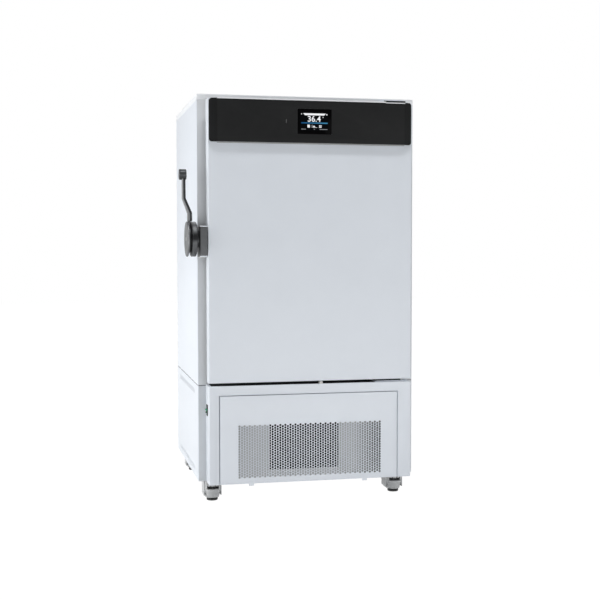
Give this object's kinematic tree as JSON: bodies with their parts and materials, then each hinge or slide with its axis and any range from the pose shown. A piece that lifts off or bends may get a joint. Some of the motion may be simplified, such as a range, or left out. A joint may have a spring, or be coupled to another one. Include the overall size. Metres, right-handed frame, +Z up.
{
  "type": "ultra low temperature freezer",
  "caption": "Upright laboratory freezer: thick hinged door with side lever latch and control fascia, inner doors and shelves, machine base with grille, levelling casters.",
  "frame": {"origin": "on the floor, under the middle of the whole object's box", "axes": "+Z up, -Y the front with the door, +X to the right as seen from the front"},
  "size_m": [0.9334, 0.8525, 1.574],
  "materials": {
    "white_coat": "satin",
    "frame_coat": "satin",
    "inner_white": "satin",
    "stainless": "satin",
    "galvanised": "matte",
    "foam": "matte",
    "copper": "satin",
    "gasket": "matte",
    "black_fascia": "satin",
    "display": "gloss",
    "indicator": "gloss",
    "graphite": "satin",
    "black_plastic": "matte",
    "rocker_green": "gloss",
    "fins": "satin",
    "motor_black": "satin",
    "compressor_black": "satin",
    "lagging": "matte",
    "zinc": "satin",
    "caster_grey": "satin",
    "nylon": "satin",
    "foot_rubber": "matte"
  },
  "bodies": {
    "cabinet": {"outer_case": "white_coat", "top_cover": "white_coat", "front_frame": "frame_coat", "chamber_liner": "stainless", "evaporator_coil": "copper", "insulation": "foam", "shelf_rails": "stainless", "shelves": "stainless", "inner_hinges": "stainless", "upper_hinge_bracket": "white_coat", "lower_hinge_bracket": "white_coat", "hinge_pins": "stainless", "latch_keeper": "stainless", "base_tray": "galvanised", "base_front_wall": "white_coat", "side_panel_left": "white_coat", "side_panel_right": "white_coat", "base_rear_panel": "white_coat", "power_inlet": "black_plastic", "lower_fascia": "white_coat", "switch_bezel": "black_plastic", "condenser": "fins", "fan_shroud": "galvanised", "fan_motor": "motor_black", "compressor_high_stage": "compressor_black", "compressor_low_stage": "compressor_black", "heat_exchanger": "lagging", "electrical_box": "galvanised", "caster_plates": "zinc"},
    "door": {"door_shell": "white_coat", "door_inner_panel": "inner_white", "door_core": "foam", "door_gasket": "gasket", "control_fascia": "black_fascia", "display_module": "display", "indicator_lens": "indicator", "hinge_bushes": "nylon", "handle_bracket": "graphite", "latch_drum": "graphite"},
    "latch": {"latch_lever": "graphite", "latch_disc": "graphite", "latch_knob": "graphite", "latch_shaft": "stainless"},
    "upper_inner_door": {"inner_door_upper": "inner_white"},
    "lower_inner_door": {"inner_door_lower": "inner_white"},
    "rocker": {"switch_rocker": "rocker_green"},
    "fan": {"fan_blades": "black_plastic"},
    "front_panel": {"service_panel": "white_coat"},
    "front_left_swivel": {"caster_front_left_body": "caster_grey"},
    "front_left_wheel": {"caster_front_left_wheel": "nylon"},
    "front_left_foot": {"caster_front_left_foot": "foot_rubber"},
    "front_right_swivel": {"caster_front_right_body": "caster_grey"},
    "front_right_wheel": {"caster_front_right_wheel": "nylon"},
    "front_right_foot": {"caster_front_right_foot": "foot_rubber"},
    "rear_left_swivel": {"caster_rear_left_body": "caster_grey"},
    "rear_left_wheel": {"caster_rear_left_wheel": "nylon"},
    "rear_left_foot": {"caster_rear_left_foot": "foot_rubber"},
    "rear_right_swivel": {"caster_rear_right_body": "caster_grey"},
    "rear_right_wheel": {"caster_rear_right_wheel": "nylon"},
    "rear_right_foot": {"caster_rear_right_foot": "foot_rubber"}
  },
  "joints": [
    {"name": "door_hinge", "type": "hinge", "parent": "cabinet", "child": "door", "pos_m": [0.40875, -0.36025, 0.474], "axis": [0, 0, 1], "range_deg": [0, 110]},
    {"name": "latch_turn", "type": "hinge", "parent": "door", "child": "latch", "pos_m": [-0.42975, -0.35825, 1.021], "axis": [1, 0, 0], "range_deg": [0, 90]},
    {"name": "upper_inner_hinge", "type": "hinge", "parent": "cabinet", "child": "upper_inner_door", "pos_m": [0.32475, -0.27225, 1.016], "axis": [0, 0, 1], "range_deg": [0, 93]},
    {"name": "lower_inner_hinge", "type": "hinge", "parent": "cabinet", "child": "lower_inner_door", "pos_m": [0.32475, -0.27225, 0.588], "axis": [0, 0, 1], "range_deg": [0, 93]},
    {"name": "power_rocker", "type": "hinge", "parent": "cabinet", "child": "rocker", "pos_m": [-0.35525, -0.35525, 0.368], "axis": [0, 1, 0], "range_deg": [0, 20]},
    {"name": "fan_spin", "type": "hinge", "parent": "cabinet", "child": "fan", "pos_m": [0.02575, -0.21475, 0.2005], "axis": [0, 1, 0], "continuous": true},
    {"name": "front_panel_pull", "type": "slide", "parent": "cabinet", "child": "front_panel", "axis": [0, -1, 0], "range_m": [0, 0.3]},
    {"name": "front_left_swivel_turn", "type": "hinge", "parent": "cabinet", "child": "front_left_swivel", "pos_m": [-0.33325, -0.26025, 0.042], "axis": [0, 0, 1], "continuous": true},
    {"name": "front_left_wheel_roll", "type": "hinge", "parent": "front_left_swivel", "child": "front_left_wheel", "pos_m": [-0.33325, -0.21025, 0.026], "axis": [1, 0, 0], "continuous": true},
    {"name": "front_left_foot_screw", "type": "slide", "parent": "front_left_swivel", "child": "front_left_foot", "axis": [0, 0, 1], "range_m": [0, 0.01]},
    {"name": "front_right_swivel_turn", "type": "hinge", "parent": "cabinet", "child": "front_right_swivel", "pos_m": [0.40675, -0.26025, 0.042], "axis": [0, 0, 1], "continuous": true},
    {"name": "front_right_wheel_roll", "type": "hinge", "parent": "front_right_swivel", "child": "front_right_wheel", "pos_m": [0.40675, -0.21025, 0.026], "axis": [1, 0, 0], "continuous": true},
    {"name": "front_right_foot_screw", "type": "slide", "parent": "front_right_swivel", "child": "front_right_foot", "axis": [0, 0, 1], "range_m": [0, 0.01]},
    {"name": "rear_left_swivel_turn", "type": "hinge", "parent": "cabinet", "child": "rear_left_swivel", "pos_m": [-0.33325, 0.34475, 0.042], "axis": [0, 0, 1], "continuous": true},
    {"name": "rear_left_wheel_roll", "type": "hinge", "parent": "rear_left_swivel", "child": "rear_left_wheel", "pos_m": [-0.33325, 0.39475, 0.026], "axis": [1, 0, 0], "continuous": true},
    {"name": "rear_left_foot_screw", "type": "slide", "parent": "rear_left_swivel", "child": "rear_left_foot", "axis": [0, 0, 1], "range_m": [0, 0.01]},
    {"name": "rear_right_swivel_turn", "type": "hinge", "parent": "cabinet", "child": "rear_right_swivel", "pos_m": [0.40675, 0.34475, 0.042], "axis": [0, 0, 1], "continuous": true},
    {"name": "rear_right_wheel_roll", "type": "hinge", "parent": "rear_right_swivel", "child": "rear_right_wheel", "pos_m": [0.40675, 0.39475, 0.026], "axis": [1, 0, 0], "continuous": true},
    {"name": "rear_right_foot_screw", "type": "slide", "parent": "rear_right_swivel", "child": "rear_right_foot", "axis": [0, 0, 1], "range_m": [0, 0.01]}
  ],
  "couplings": [
    {"joint": "upper_inner_hinge", "follows": "door_hinge", "ratio": 0.84},
    {"joint": "lower_inner_hinge", "follows": "door_hinge", "ratio": 0.84}
  ]
}
